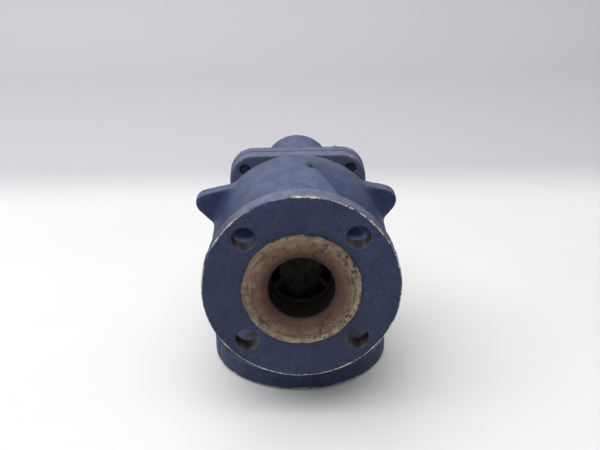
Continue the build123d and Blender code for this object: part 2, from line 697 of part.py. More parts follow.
def air_vent_capsule():
    """Fixed shell of the thermostatic capsule, with a guide hole for its plunger."""
    end = CAPSULE_STATION + CAPSULE_LENGTH
    middle = (CAPSULE_STATION + end) / 2
    rim_start = middle - CAPSULE_RIM_LENGTH / 2
    shell = rod(CAPSULE_R - 3.0, CAPSULE_STATION, end, 0, BOSS_HEIGHT)
    shell = chamfer(shell.edges().filter_by(GeomType.CIRCLE), 2.0)
    rim = rod(CAPSULE_R, rim_start, rim_start + CAPSULE_RIM_LENGTH, 0, BOSS_HEIGHT)
    guide = rod(PLUNGER_R + PLUNGER_GUIDE_CLEARANCE, middle, end, 0, BOSS_HEIGHT)
    return shell + rim - guide


def air_vent_plunger():
    """Valve plunger that the capsule pushes onto the vent seat when it is hot."""
    capsule_end = CAPSULE_STATION + CAPSULE_LENGTH
    middle = CAPSULE_STATION + CAPSULE_LENGTH / 2
    seat_face = CAVITY_END_STATION - VENT_SEAT_HEAD_LENGTH
    tip = seat_face - VENT_CLEARANCE - VENT_TRAVEL
    rod_end = tip - 1.0
    stem = rod(PLUNGER_R, middle + VENT_CLEARANCE, rod_end, 0, BOSS_HEIGHT)
    disc = rod(PLUNGER_R + 1.5, capsule_end + 2.0, tip, 0, BOSS_HEIGHT)
    return stem + disc


def air_vent_clip():
    """Spring strip that holds the capsule to its seat."""
    front = CAPSULE_STATION - CLIP_THICKNESS
    rear = CAVITY_END_STATION - VENT_SEAT_HEAD_LENGTH
    half = CLIP_HALF_SPAN
    low = BOSS_HEIGHT - CLIP_WIDTH / 2
    high = BOSS_HEIGHT + CLIP_WIDTH / 2
    clip = block((-half, half), (front, front + CLIP_THICKNESS), (low, high))
    for side in (-1, 1):
        outer = side * half
        inner = side * (half - CLIP_THICKNESS)
        clip += block((min(outer, inner), max(outer, inner)), (front, rear), (low, high))
        foot = side * (VENT_SEAT_HEAD_R - 2.0)
        clip += block((min(outer, foot), max(outer, foot)), (rear - CLIP_THICKNESS, rear), (low, high))
    return clip


# ------------------------------------------------------------------------------ drain and nameplate
def drain_plug():
    """Hexagon-socket plug under the chamber."""
    head_start = DRAIN_FACE_RADIUS + DRAIN_GASKET_THICKNESS
    head_end = head_start + DRAIN_COLLAR_THICKNESS
    thread = drain_rod(DRAIN_THREAD_R, CHAMBER_R + 1.0, head_start)
    collar = drain_rod(DRAIN_GASKET_R, head_start, head_end)
    collar = chamfer(collar.edges().filter_by(GeomType.CIRCLE).sort_by(Axis.Z)[0], 0.8)
    place = INLET * Pos(0, DRAIN_STATION, -head_end)
    return thread + collar - place * hexagon(DRAIN_SOCKET_AF, DRAIN_SOCKET_DEPTH)


def drain_gasket():
    """Soft ring under the drain plug's head."""
    end = DRAIN_FACE_RADIUS + DRAIN_GASKET_THICKNESS
    ring = drain_rod(DRAIN_GASKET_R, DRAIN_FACE_RADIUS, end)
    return ring - drain_rod(DRAIN_THREAD_R, DRAIN_FACE_RADIUS, end)


def plate_pin_places():
    """X of the nameplate's two drive pins."""
    return (PLATE_X - PLATE_PIN_SPACING / 2, PLATE_X + PLATE_PIN_SPACING / 2)


def plate_pin_shank(x):
    """Shank of one drive pin, which is also the cutter of its hole."""
    plate_rear = COVER_REAR_STATION + PLATE_THICKNESS
    return rod(PLATE_PIN_R, plate_rear - 4.0, plate_rear, x, PLATE_HEIGHT)


def nameplate():
    """Blank plate on the back of the cover."""
    place = facing_back(PLATE_X, COVER_REAR_STATION, PLATE_HEIGHT)
    plate = place * extrude(RectangleRounded(PLATE_LENGTH, PLATE_WIDTH, 2.0), PLATE_THICKNESS)
    for x in plate_pin_places():
        plate -= plate_pin_shank(x)
    return plate


def nameplate_pins():
    """Two round-head drive pins of the nameplate."""
    plate_rear = COVER_REAR_STATION + PLATE_THICKNESS
    pins = []
    for x in plate_pin_places():
        head = rod(1.9 * PLATE_PIN_R, plate_rear, plate_rear + PLATE_PIN_R, x, PLATE_HEIGHT)
        head = fillet(rear_circle(head), 0.9 * PLATE_PIN_R)
        pins.append(plate_pin_shank(x) + head)
    return Compound(children=pins)


NODES = [
    body,
    cover,
    cover_gasket,
    cover_screws,
    cover_washers,
    inlet_deflector,
    deflector_snap_ring,
    valve_seat,
    seat_gasket,
    valve_head,
    valve_clip,
    float_lever,
    float_ball,
    float_nut,
    mechanism_bracket,
    bracket_screws,
    pivot_pin,
    pin_clips,
    air_vent_seat,
    air_vent_capsule,
    air_vent_plunger,
    air_vent_clip,
    passage_plug,
    drain_plug,
    drain_gasket,
    nameplate,
    nameplate_pins,
]

os.makedirs("parts", exist_ok=True)
for make in NODES:
    export_step(make(), f"parts/{make.__name__}.step")
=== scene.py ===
import json
import math

import bmesh
import bpy
import numpy as np
from mathutils import Matrix, Vector
from mathutils.noise import fractal, seed_set


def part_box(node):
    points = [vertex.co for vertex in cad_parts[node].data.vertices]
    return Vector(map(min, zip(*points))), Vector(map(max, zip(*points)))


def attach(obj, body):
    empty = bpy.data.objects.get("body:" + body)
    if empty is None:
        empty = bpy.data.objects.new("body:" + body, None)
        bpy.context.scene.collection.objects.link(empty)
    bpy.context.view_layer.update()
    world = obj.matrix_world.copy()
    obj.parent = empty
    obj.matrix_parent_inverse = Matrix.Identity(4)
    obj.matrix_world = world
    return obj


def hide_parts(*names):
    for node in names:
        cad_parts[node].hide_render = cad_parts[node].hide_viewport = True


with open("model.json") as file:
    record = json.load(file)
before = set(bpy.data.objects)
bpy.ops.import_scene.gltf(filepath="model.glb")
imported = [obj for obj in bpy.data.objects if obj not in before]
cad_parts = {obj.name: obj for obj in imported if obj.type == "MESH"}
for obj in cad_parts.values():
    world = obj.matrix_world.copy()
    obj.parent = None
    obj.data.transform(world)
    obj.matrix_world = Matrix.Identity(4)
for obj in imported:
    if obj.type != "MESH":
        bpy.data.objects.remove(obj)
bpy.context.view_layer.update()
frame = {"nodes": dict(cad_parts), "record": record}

MM = 0.001
seed_set(7)

# Places that come from the frame: the inlet axis, the flange faces, the cover joint's corners.
AXIS_Z = frame["record"]["mounts"][0]["pos_m"][2]
INLET_FACE_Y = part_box("body")[0].y
OUTLET_FACE_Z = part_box("body")[0].z
PLATE_LOW, PLATE_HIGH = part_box("cover_gasket")

# Sizes of the pipe flanges, as on the CAD body.
FLANGE_R = 76.2 * MM
FLANGE_THICKNESS = 17.5 * MM
RAISED_R = 46.05 * MM
RAISED_HEIGHT = 1.6 * MM
BORE_R = 25.4 * MM
MOUTH_R = 30.5 * MM
MOUTH_DEPTH = 4.6 * MM
BOLT_CIRCLE_R = 60.325 * MM
BOLT_HOLE_R = 9.525 * MM
FLANGE_EDGE_R = 1.3 * MM
LINER_R = 29.4 * MM
RING_PITCH = 0.75 * MM
RING_DEPTH = 0.13 * MM
COVER_CORNER_R = 21.5 * MM
JOINT_PAINT_REACH = 1.7 * MM
JOINT_PAINT_DEPTH = 2.6 * MM
JOINT_FLANGE_MM = 10.5
BODY_VOXEL = 1.3 * MM
COVER_VOXEL = 1.0 * MM
BOLT_ANGLES = [math.radians(45 + 90 * k) for k in range(4)]

# The raised band on top of the drum and the dent at its end, in mm. A station is a distance
# behind the inlet face. The band's edge slants as the station grows.
BAND_EDGE_X = 27.3
BAND_EDGE_STATION = 46
BAND_SLANT = 0.55
BAND_END_STATION = 88
DENT_X, DENT_STATION = 9.6, 79
DENT_HALF_X, DENT_HALF_STATION = 2.8, 5.5
DENT_DEPTH = 2.2
SWELL_DEPTH = 0.22
LUG_STATION = 95

# Camera at the photograph's viewing angle.
CAMERA_PLACE = Vector((-0.0105, -0.7474, 0.4463))
CAMERA_PITCH = math.radians(23.68)
CAMERA_YAW = math.radians(0.88)
CAMERA_ROLL = math.radians(-0.67)
CAMERA_LENS = 56.76


# ------------------------------------------------------------------------------ camera, floor, light
def add_camera():
    forward = Vector(
        (
            math.sin(CAMERA_YAW) * math.cos(CAMERA_PITCH),
            math.cos(CAMERA_YAW) * math.cos(CAMERA_PITCH),
            -math.sin(CAMERA_PITCH),
        )
    )
    level = Vector((math.cos(CAMERA_YAW), -math.sin(CAMERA_YAW), 0))
    above = level.cross(forward)
    right = level * math.cos(CAMERA_ROLL) + above * math.sin(CAMERA_ROLL)
    up = above * math.cos(CAMERA_ROLL) - level * math.sin(CAMERA_ROLL)
    data = bpy.data.cameras.new("camera")
    data.lens = CAMERA_LENS
    data.sensor_width = 36
    camera = bpy.data.objects.new("camera", data)
    turn = Matrix((right, up, -forward)).transposed()
    camera.matrix_world = Matrix.Translation(CAMERA_PLACE) @ turn.to_4x4()
    bpy.context.scene.collection.objects.link(camera)
    bpy.context.scene.camera = camera


def add_area(name, place, target, size, watts, colour):
    data = bpy.data.lights.new(name, "AREA")
    data.shape = "RECTANGLE"
    data.size, data.size_y = size
    data.energy = watts
    data.color = colour
    light = bpy.data.objects.new(name, data)
    light.location = place
    light.rotation_euler = (Vector(target) - Vector(place)).to_track_quat("-Z", "Y").to_euler()
    bpy.context.scene.collection.objects.link(light)


def add_light():
    middle = (0, 0, 0.1)
    add_area("overhead", (-0.3, -0.2, 1.6), middle, (2.4, 2.0), 36, (1.0, 0.99, 0.97))
    add_area("left_fill", (-1.6, -0.2, 0.6), middle, (1.0, 1.0), 5, (0.98, 0.99, 1.0))
    world = bpy.data.worlds.new("studio")
    world.use_nodes = True
    background = world.node_tree.nodes["Background"]
    background.inputs["Color"].default_value = (0.88, 0.89, 0.92, 1)
    background.inputs["Strength"].default_value = 0.45
    bpy.context.scene.world = world


def add_floor():
    """Pale sweep: a floor that turns up into a backdrop behind the object."""
    reach, turn_y, turn_r, height = 3.0, 0.95, 0.35, 2.4
    profile = [(-reach, 0.0)]
    for k in range(13):
        angle = math.radians(90 * k / 12)
        profile.append((turn_y + turn_r * math.sin(angle), turn_r * (1 - math.cos(angle))))
    profile.append((turn_y + turn_r, height))
    bm = bmesh.new()
    sides = [[bm.verts.new((x, y, z)) for y, z in profile] for x in (-reach, reach)]
    for k in range(len(profile) - 1):
        bm.faces.new((sides[0][k], sides[1][k], sides[1][k + 1], sides[0][k + 1]))
    floor = object_from(bm, "floor")
    floor.data.materials.append(floor_material())


def object_from(bm, name, smooth=True):
    mesh = bpy.data.meshes.new(name)
    bmesh.ops.recalc_face_normals(bm, faces=bm.faces)
    bm.to_mesh(mesh)
    bm.free()
    for polygon in mesh.polygons:
        polygon.use_smooth = smooth
    obj = bpy.data.objects.new(name, mesh)
    bpy.context.scene.collection.objects.link(obj)
    return obj


# ------------------------------------------------------------------------------ shader helpers
class Shader:
    """A small wrapper that adds nodes and links them by their sockets' names."""

    def __init__(self, name):
        self.material = bpy.data.materials.new(name)
        self.material.use_nodes = True
        self.tree = self.material.node_tree
        self.surface = self.tree.nodes["Principled BSDF"]
        coordinates = self.tree.nodes.new("ShaderNodeTexCoord")
        self.mm = self.vector("SCALE", coordinates.outputs["Object"], scale=1 / MM)

    def set(self, socket, value):
        if isinstance(value, bpy.types.NodeSocket):
            self.tree.links.new(value, socket)
        else:
            socket.default_value = value

    def node(self, kind, inputs=(), **settings):
        node = self.tree.nodes.new(kind)
        for key, value in settings.items():
            setattr(node, key, value)
        for key, value in dict(inputs).items():
            self.set(node.inputs[key], value)
        return node

    def vector(self, operation, *values, scale=None):
        node = self.node("ShaderNodeVectorMath", operation=operation)
        for socket, value in zip(node.inputs, values):
            self.set(socket, value)
        if scale is not None:
            node.inputs["Scale"].default_value = scale
        wanted = "Value" if operation in ("LENGTH", "DOT_PRODUCT") else "Vector"
        return node.outputs[wanted]

    def math(self, operation, *values, clamp=False):
        node = self.node("ShaderNodeMath", operation=operation, use_clamp=clamp)
        for socket, value in zip(node.inputs, values):
            self.set(socket, value)
        return node.outputs[0]

    def noise(self, size, detail=3.0, roughness=0.55, place=None, distortion=0.0):
        """Fractal noise from 0 to 1 whose largest features are about size mm."""
        inputs = {
            "Vector": place or self.mm,
            "Scale": 1 / size,
            "Detail": detail,
            "Roughness": roughness,
            "Distortion": distortion,
        }
        return self.node("ShaderNodeTexNoise", inputs).outputs["Fac"]

    def steps(self, value, low, high, out_low=0.0, out_high=1.0):
        inputs = {"Value": value, "From Min": low, "From Max": high}
        inputs.update({"To Min": out_low, "To Max": out_high})
        node = self.node("ShaderNodeMapRange", inputs, interpolation_type="SMOOTHSTEP")
        return node.outputs["Result"]

    def mix(self, factor, a, b):
        node = self.node("ShaderNodeMix", data_type="RGBA")
        self.set(node.inputs[0], factor)
        self.set(node.inputs[6], a)
        self.set(node.inputs[7], b)
        return node.outputs[2]

    def bump(self, height, distance, normal=None):
        node = self.node("ShaderNodeBump", {"Height": height, "Distance": distance, "Strength": 1.0})
        if normal is not None:
            self.set(node.inputs["Normal"], normal)
        return node.outputs["Normal"]

    def attribute(self, name):
        return self.node("ShaderNodeAttribute", attribute_name=name).outputs["Fac"]

    def ring(self, centre, along):
        """Radius about a flange axis and depth behind its face, both in mm."""
        across = tuple(0.0 if side else 1.0 for side in along)
        moved = self.vector("SUBTRACT", self.mm, tuple(c / MM for c in centre))
        radius = self.vector("LENGTH", self.vector("MULTIPLY", moved, across))
        depth = self.vector("DOT_PRODUCT", moved, tuple(float(side) for side in along))
        return radius, depth

    def upness(self):
        return self.split(self.node("ShaderNodeNewGeometry").outputs["Normal"])[2]

    def split(self, vector):
        node = self.node("ShaderNodeSeparateXYZ", {"Vector": vector})
        return node.outputs["X"], node.outputs["Y"], node.outputs["Z"]

    def finish(self, colour, roughness, normal, metallic=0.0, specular=0.5):
        for key, value in (
            ("Base Color", colour),
            ("Roughness", roughness),
            ("Normal", normal),
            ("Metallic", metallic),
            ("Specular IOR Level", specular),
        ):
            self.set(self.surface.inputs[key], value)
        return self.material


def srgb(red, green, blue):
    """Linear colour with alpha from 0-255 display values."""
    def linear(v):
        v /= 255
        return v / 12.92 if v <= 0.04045 else ((v + 0.055) / 1.055) ** 2.4

    return (linear(red), linear(green), linear(blue), 1.0)


# ------------------------------------------------------------------------------ materials
# Two copies of one navy paint: a darker, greyer pair as painted shade for the pipe flanges, joint and
# fasteners, and a bluer pair for the body and cover.
SHADED_BLUES = (srgb(32, 41, 71), srgb(46, 57, 90))
BODY_BLUES = (srgb(32, 44, 82), srgb(47, 62, 106))
# Pale dust together with painted sheen, on surfaces that face up.
DUST_AND_SHEEN_TONE = srgb(117, 125, 149)
PALE_PAINT = srgb(112, 117, 132)
# Painted shade beside the drum's raised band and in its dent.
PAINTED_SHADE_TONE = srgb(20, 22, 30)
STAIN_TONE = srgb(164, 92, 52)
FLOOR_TONES = (srgb(222, 222, 222), srgb(229, 229, 228))
BEHIND_TONE = srgb(196, 195, 199)


def floor_material():
    """Matt pale sheet, a little greyer behind the object."""
    s = Shader("pale_floor")
    tone = s.noise(180.0, 2.0)
    colour = s.mix(tone, *FLOOR_TONES)
    behind = s.steps(s.split(s.mm)[1], 330.0, 480.0)
    colour = s.mix(behind, colour, BEHIND_TONE)
    return s.finish(colour, 0.75, s.bump(s.noise(2.0), 0.00002), specular=0.2)


def bare_iron(s):
    """Colour of chipped places: pale old primer, with more rust in it higher up."""
    height = s.steps(s.split(s.mm)[2], 90.0, 185.0, -0.12, 0.14)
    tone = s.steps(s.math("ADD", s.noise(5.0, 4.0, 0.6), height), 0.5, 0.66)
    return s.mix(tone, srgb(206, 203, 197), srgb(160, 136, 114))


def painted(
    name,
    wear=None,
    grain_depth=0.00026,
    swell_depth=0.0008,
    inside=None,
    painted_shade_attribute=None,
    holes=None,
    dust_and_sheen_amount=0.5,
    blues=SHADED_BLUES,
):
    """Satin navy paint on cast iron. Both wear and inside take the shader and give a mask.

    Dust and painted sheen lie where the surface faces up. Where the named shade attribute is high
    they give way to painted shade, paint darkened towards near black. A casting whose own edges
    are chipped is also paler all over its joint flange.
    """
    s = Shader(name)
    tone = s.noise(26.0, 4.0, 0.6)
    fine = s.noise(2.0, 4.0, 0.65)
    base = s.mix(tone, *blues)
    base = s.mix(s.steps(fine, 0.45, 0.72, 0.0, 0.6), base, srgb(68, 74, 90))
    base = s.mix(s.steps(s.noise(7.0, 5.0, 0.6), 0.52, 0.7, 0.0, 0.6), base, srgb(28, 34, 52))
    base = s.mix(s.steps(s.noise(75.0, 3.0), 0.4, 0.62, 0.0, 0.45), base, srgb(31, 36, 56))
    patch = s.steps(s.noise(9.0, 6.0, 0.7), 0.3, 0.68, 0.45, 0.95)
    # Pale dust and painted sheen where the surface faces up, in patches.
    dust_and_sheen = s.math("MULTIPLY", s.steps(s.upness(), 0.45, 1.0), patch)
    if wear is attribute_chips:
        # Edges that face up are rubbed pale; this joins the dust and painted sheen.
        rubbed_and_sheen = s.math("MULTIPLY", s.attribute("edge"), s.steps(s.upness(), 0.2, 0.9))
        dust_and_sheen = s.math("MAXIMUM", dust_and_sheen, s.math("MULTIPLY", rubbed_and_sheen, 1.9), clamp=True)
    if wear is attribute_chips:
        base = s.mix(joint_flange(s), base, PALE_PAINT)
    # Painted shade: where the attribute is high, dust and sheen go and the paint darkens towards near black.
    if painted_shade_attribute is not None:
        cut = s.attribute(painted_shade_attribute)
        dust_and_sheen = s.math("MULTIPLY", dust_and_sheen, s.math("SUBTRACT", 1.0, cut))
        base = s.mix(s.steps(cut, 0.75, 0.95, 0.0, 0.8), base, PAINTED_SHADE_TONE)
    base = s.mix(s.math("MULTIPLY", dust_and_sheen, dust_and_sheen_amount), base, DUST_AND_SHEEN_TONE)
    grain = s.noise(1.0, 4.0, 0.6)
    normal = s.bump(s.noise(8.0, 3.0, 0.5), swell_depth)
    normal = s.bump(grain, grain_depth, normal)
    roughness = s.steps(grain, 0.2, 0.8, 0.46, 0.62)
    if wear is not None:
        chips = wear(s)
        base = s.mix(chips, base, bare_iron(s))
        normal = s.bump(s.math("SUBTRACT", 1.0, chips), 0.00012, normal)
        roughness = s.math("ADD", roughness, s.math("MULTIPLY", chips, 0.2))
    if holes is not None:
        walls = holes(s)
        bare = s.mix(s.noise(3.0, 5.0, 0.7), srgb(48, 40, 36), srgb(112, 106, 101))
        # Where the mask faces up the bare iron turns near black: painted shade in the hole bottoms and on the
        # flange's back under the drum.
        facing_up = s.steps(s.upness(), 0.9, 0.99)
        bare = s.mix(facing_up, bare, s.mix(s.noise(8.0, 4.0), srgb(24, 20, 19), srgb(54, 48, 46)))
        base = s.mix(walls, base, bare)
    if inside is not None:
        # Inside the chamber and ports: rust darkened to near black, partly painted shade.
        hidden = inside(s)
        base = s.mix(hidden, base, rust_tone(s, 0.16))
        roughness = s.math("MAXIMUM", roughness, s.math("MULTIPLY", hidden, 0.85))
    return s.finish(base, roughness, normal, specular=0.24)


def rust_tone(s, light):
    """Brown rust, from near black to the given share of full brightness."""
    tone = s.noise(6.0, 6.0, 0.65)
    low = srgb(34 * light + 8, 24 * light + 7, 18 * light + 6)
    high = srgb(140 * light, 98 * light, 72 * light)
    return s.mix(s.steps(tone, 0.3, 0.7), low, high)


def rim_chips(centre, along, amount, speckle):
    """Chips along the outer edges of one pipe flange, most of them on the front edge, with
    speckle times the usual specks inside it."""
    def mask(s):
        radius, depth = s.ring(centre, along)
        from_rim = s.math("SUBTRACT", FLANGE_R / MM, radius)
        from_front = s.math("ABSOLUTE", s.math("SUBTRACT", depth, RAISED_HEIGHT / MM))
        front = s.math("ADD", from_rim, from_front)
        from_back = s.math("ABSOLUTE", s.math("SUBTRACT", depth, FLANGE_THICKNESS / MM))
        back = s.math("ADD", from_rim, from_back)
        near_front = s.steps(front, 0.2, 2.3, amount, 0.0)
        near_back = s.steps(back, 0.2, 2.0, amount - 0.18, 0.0)
        near = s.math("MAXIMUM", near_front, near_back)
        ragged = s.noise(1.7, 5.0, 0.72)
        patchy = s.steps(s.noise(22.0, 4.0), 0.36, 0.64, -0.13, 0.07)
        low = s.steps(s.split(s.mm)[2], 42.0, 92.0, 0.13, 0.0)
        ragged = s.math("ADD", ragged, low)
        chips = s.steps(s.math("ADD", s.math("ADD", near, ragged), patchy), 0.85, 0.93)
        by_the_rim = s.steps(from_rim, 2.0, 13.0, 14.0, 0.0)
        specks = s.math("MULTIPLY", s.steps(s.noise(1.5, 2.0), 0.7, 0.74), by_the_rim)
        specks = s.math("MULTIPLY", specks, s.math("MULTIPLY", low, speckle))
        return s.math("MAXIMUM", chips, specks, clamp=True)
    return mask


def bolt_holes_and_drum_shade(centre, along, drum_shade):
    """Bare walls of one flange's bolt holes, and painted shade on its back under the drum."""
    def mask(s):
        moved = s.vector("ABSOLUTE", s.vector("SUBTRACT", s.mm, tuple(c / MM for c in centre)))
        half = BOLT_CIRCLE_R / MM / math.sqrt(2)
        across = tuple(0.0 if side else 1.0 for side in along)
        from_hole = s.vector("SUBTRACT", moved, tuple(half * side for side in across))
        from_hole = s.vector("LENGTH", s.vector("MULTIPLY", from_hole, across))
        walls = s.math("LESS_THAN", from_hole, BOLT_HOLE_R / MM + 0.15)
        # Painted shade on the flange's back, under the drum, where it faces up.
        drum_shadow = s.steps(s.noise(14.0, 5.0, 0.65), 0.35, 0.65, 0.15 * drum_shade, drum_shade)
        drum_shadow = s.math("MULTIPLY", drum_shadow, s.steps(s.split(s.mm)[1], -5.0, 40.0, 1.0, 0.12))
        drum_shadow = s.math("MULTIPLY", s.steps(s.upness(), 0.6, 0.95), drum_shadow)
        return s.math("MAXIMUM", s.math("MULTIPLY", walls, 0.8), drum_shadow)
    return mask


def attribute_chips(s):
    """Chips where the piece's own edges stand out."""
    ragged = s.math("ADD", s.noise(3.0, 5.0, 0.7), s.math("MULTIPLY", s.attribute("edge"), 0.47))
    return s.math("MULTIPLY", s.steps(ragged, 0.9, 0.97), 0.8)


def joint_flange(s):
    """The square flanges of the cover joint, where the paint has gone pale."""
    y, z = s.split(s.mm)[1:]
    front, rear = PLATE_LOW.y / MM - JOINT_FLANGE_MM, PLATE_HIGH.y / MM + JOINT_FLANGE_MM
    past_front = s.steps(y, front - 2.0, front + 0.5)
    before_rear = s.steps(y, rear - 3.0, rear - 0.5, 1.0, 0.0)
    along = s.math("MULTIPLY", past_front, before_rear)
    above = s.steps(z, PLATE_LOW.z / MM - 5.0, PLATE_LOW.z / MM, 0.0, 0.32)
    return s.math("MULTIPLY", along, above)


def chamber_side(s):
    """The walls of the float chamber and of both ports, which are left unpainted."""
    radius, depth = s.ring((0, INLET_FACE_Y, AXIS_Z), (0, 1, 0))
    rear = s.math("SUBTRACT", 67.5, s.math("MULTIPLY", s.math("SUBTRACT", depth, 104.0), 0.86))
    front = s.math("ADD", 36.0, s.math("MULTIPLY", s.math("SUBTRACT", depth, 40.0), 1.15))
    limit = s.math("MINIMUM", s.math("MAXIMUM", rear, 50.0), s.math("MAXIMUM", front, 36.0))
    limit = s.math("MINIMUM", limit, 63.5)
    inside = s.math("LESS_THAN", radius, limit)
    outlet_radius, height = s.ring((0, 0, OUTLET_FACE_Z), (0, 0, 1))
    in_outlet = s.math("LESS_THAN", outlet_radius, 29.0)
    in_outlet = s.math("MULTIPLY", in_outlet, s.math("LESS_THAN", height, 80.0))
    return s.math("MAXIMUM", inside, in_outlet)


def machined_face(name, centre, along):
    """Rusted raised face and bell mouth, with the rings of the turning tool, and painted shade towards and
    inside the bore.
    """
    s = Shader(name)
    radius, depth = s.ring(centre, along)
    stretched = s.vector("SCALE", s.mm, scale=0.08)
    x, y, z = s.split(stretched)
    place = s.node("ShaderNodeCombineXYZ", {"X": s.math("ADD", x, radius), "Y": y, "Z": z})
    rings = s.noise(1.3, 3.0, 0.6, place=place.outputs["Vector"])
    patches = s.noise(14.0, 5.0, 0.65)
    colour = s.mix(s.steps(rings, 0.3, 0.7), srgb(84, 67, 55), srgb(138, 121, 102))
    inner = s.math("ADD", s.steps(radius, 33.0, 42.0, 0.2, -0.12), patches)
    colour = s.mix(s.steps(inner, 0.44, 0.62, 0.0, 0.75), colour, srgb(100, 74, 61))
    colour = s.mix(s.steps(s.noise(5.0, 6.0, 0.7), 0.48, 0.66, 0.0, 0.75), colour, srgb(74, 53, 44))
    spots = s.steps(s.noise(9.0, 3.0, 0.5, place=s.vector("ADD", s.mm, (31.0, 7.0, 5.0))), 0.66, 0.74)
    colour = s.mix(s.math("MULTIPLY", spots, 0.55), colour, srgb(158, 92, 52))
    from_centre = s.vector("SUBTRACT", s.mm, tuple(c / MM for c in centre))
    side = s.vector("DOT_PRODUCT", from_centre, (0.6, 0.0, -0.8))
    strength = s.steps(side, -20.0, 40.0, 0.12, 0.9)
    worn = s.steps(s.noise(4.0, 5.0, 0.7), 0.38, 0.56, 0.1, 0.8)
    band = s.math("MULTIPLY", s.steps(radius, 40.4, 42.6), worn)
    band = s.math("MULTIPLY", band, strength)
    colour = s.mix(band, colour, srgb(158, 145, 127))
    pits = s.math("ADD", s.noise(2.4, 4.0, 0.65), s.steps(s.noise(24.0, 2.0), 0.4, 0.7, -0.08, 0.1))
    pits = s.steps(pits, 0.62, 0.68)
    colour = s.mix(s.math("MULTIPLY", pits, 0.85), colour, srgb(38, 28, 24))
    ragged = s.steps(s.noise(9.0, 4.0), 0.35, 0.65, -0.9, 0.2)
    lip = s.math("ADD", s.steps(radius, 44.6, 45.8), ragged, clamp=True)
    colour = s.mix(lip, colour, srgb(40, 38, 44))
    stain_place = tuple(c / MM + d for c, d in zip(centre, (-29.5, 0.0, -3.0)))
    from_stain = s.vector("LENGTH", s.vector("SUBTRACT", s.mm, stain_place))
    stain = s.math("MULTIPLY", from_stain, s.steps(s.noise(4.0), 0.3, 0.7, 0.7, 1.4))
    colour = s.mix(s.steps(stain, 1.5, 5.5, 0.8, 0.0), colour, STAIN_TONE)
    shade = s.steps(radius, 29.5, 37.0, 0.8, 0.0)
    colour = s.mix(shade, colour, srgb(66, 46, 40))
    # Inside the bore: rust darkened to near black, partly painted shade.
    sunk = s.math("MULTIPLY", s.steps(depth, 1.2, 6.0), s.math("LESS_THAN", radius, 32.0))
    colour = s.mix(sunk, colour, rust_tone(s, 0.12))
    bump = s.bump(rings, 0.0003)
    bump = s.bump(s.math("SUBTRACT", s.noise(1.6, 5.0, 0.7), pits), 0.00035, bump)
    return s.finish(colour, s.steps(patches, 0.3, 0.7, 0.5, 0.8), bump, metallic=0.15, specular=0.3)


def metal(name, light, dark, metallic, rough, stain=0.5, along=(1.0, 1.0, 1.0), size=6.0):
    """Metal with a stained film, and fine marks that run along the axis with the small factor."""
    s = Shader(name)
    tone = s.noise(size, 5.0, 0.65)
    marks = s.noise(0.5, 3.0, 0.6, place=s.vector("MULTIPLY", s.mm, along))
    film = s.math("MULTIPLY", s.steps(tone, 0.42, 0.68), stain)
    colour = s.mix(film, light, dark)
    colour = s.mix(s.steps(marks, 0.3, 0.7, 0.0, 0.25), colour, dark)
    normal = s.bump(marks, 0.00006)
    normal = s.bump(s.noise(3.0, 4.0), 0.0001, normal)
    roughness = s.steps(marks, 0.25, 0.75, rough, rough + 0.15)
    roughness = s.math("ADD", roughness, s.math("MULTIPLY", film, 0.25))
    return s.finish(colour, roughness, normal, metallic)


def fibre_gasket(name, light, dark):
    """Compressed fibre with a speckled cut edge."""
    s = Shader(name)
    fibres = s.noise(0.6, 4.0, 0.7, place=s.vector("MULTIPLY", s.mm, (1.0, 3.0, 1.0)))
    colour = s.mix(s.steps(fibres, 0.35, 0.65), dark, light)
    return s.finish(colour, 0.8, s.bump(fibres, 0.0001), specular=0.25)


# ------------------------------------------------------------------------------ shared mesh steps
def lathe(profile, steps, name):
    """Closed ring turned about Z from (radius, z) corners."""
    bm = bmesh.new()
    rings = []
    for k in range(steps):
        angle = 2 * math.pi * k / steps
        rings.append([bm.verts.new((r * math.cos(angle), r * math.sin(angle), z)) for r, z in profile])
    count = len(profile)
    for k in range(steps):
        here, there = rings[k], rings[(k + 1) % steps]
        for i in range(count):
            j = (i + 1) % count
            bm.faces.new((here[i], here[j], there[j], there[i]))
    return object_from(bm, name)


def apply_modifiers(obj):
    bpy.context.view_layer.update()
    graph = bpy.context.evaluated_depsgraph_get()
    mesh = bpy.data.meshes.new_from_object(obj.evaluated_get(graph), depsgraph=graph)
    obj.modifiers.clear()
    old = obj.data
    obj.data = mesh
    bpy.data.meshes.remove(old)
    mesh.name = obj.name


def shade_by_angle(obj, degrees):
    for polygon in obj.data.polygons:
        polygon.use_smooth = True
    obj.data.set_sharp_from_angle(angle=math.radians(degrees))


def copy_of(node, name):
    copy = bpy.data.objects.new(name, frame["nodes"][node].data.copy())
    bpy.context.scene.collection.objects.link(copy)
    copy.data.materials.clear()
    return copy


def add_smooth(obj, factor, passes, group=""):
    smooth = obj.modifiers.new("smooth", "SMOOTH")
    smooth.factor = factor
    smooth.iterations = passes
    smooth.vertex_group = group
    apply_modifiers(obj)


def remesh(obj, voxel, passes):
    """One even skin over the object, with its creases rounded as a casting's are."""
    skin = obj.modifiers.new("skin", "REMESH")
    skin.mode = "VOXEL"
    skin.voxel_size = voxel
    apply_modifiers(obj)
    add_smooth(obj, 0.5, passes)
    for polygon in obj.data.polygons:
        polygon.use_smooth = True


def points_of(mesh):
    points = np.empty(len(mesh.vertices) * 3)
    mesh.vertices.foreach_get("co", points)
    return points.reshape(-1, 3)


def move_points(mesh, points):
    mesh.vertices.foreach_set("co", points.ravel())
    mesh.update()


def normals_of(mesh):
    normals = np.empty(len(mesh.vertices) * 3)
    mesh.vertices.foreach_get("normal", normals)
    return normals.reshape(-1, 3)


